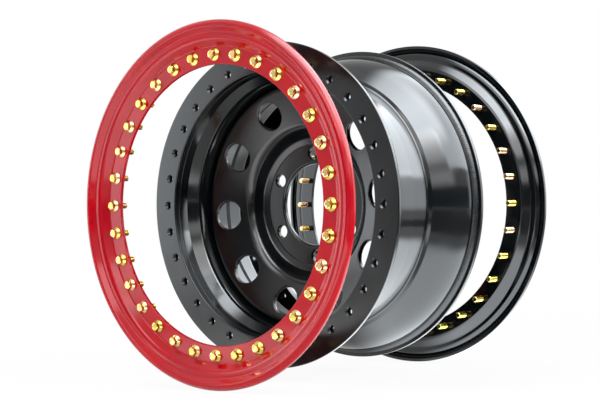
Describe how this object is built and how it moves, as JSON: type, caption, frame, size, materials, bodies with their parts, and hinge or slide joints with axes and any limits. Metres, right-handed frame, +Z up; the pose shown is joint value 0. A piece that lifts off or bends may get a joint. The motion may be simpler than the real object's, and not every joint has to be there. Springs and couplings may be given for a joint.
{
  "type": "beadlock wheel",
  "caption": "Steel off-road wheel with a tapped flange and a bolt-on tyre clamp ring at each side, shown with both rings drawn off along the axle.",
  "frame": {"origin": "centre of the hub bore, at the face that meets the hub", "axes": "+Y along the axle towards the vehicle, -Y outboard, +Z up"},
  "size_m": [0.4609, 0.429, 0.461],
  "materials": {
    "black_paint": "gloss",
    "red_paint": "gloss",
    "gold_zinc": "passivated zinc plate"
  },
  "bodies": {
    "wheel": {"rim_barrel": "black_paint", "centre_disc": "black_paint", "front_flange": "black_paint", "rear_flange": "black_paint"},
    "front_ring": {"front_clamp_ring": "red_paint", "front_ring_bolts": "gold_zinc"},
    "rear_ring": {"rear_clamp_ring": "black_paint", "rear_ring_bolts": "gold_zinc"}
  },
  "joints": [
    {"name": "front_ring_slide", "type": "slide", "parent": "wheel", "child": "front_ring", "axis": [0, 1, 0], "range_m": [0, 0.0937]},
    {"name": "rear_ring_slide", "type": "slide", "parent": "wheel", "child": "rear_ring", "axis": [0, -1, 0], "range_m": [0, 0.1057]}
  ]
}
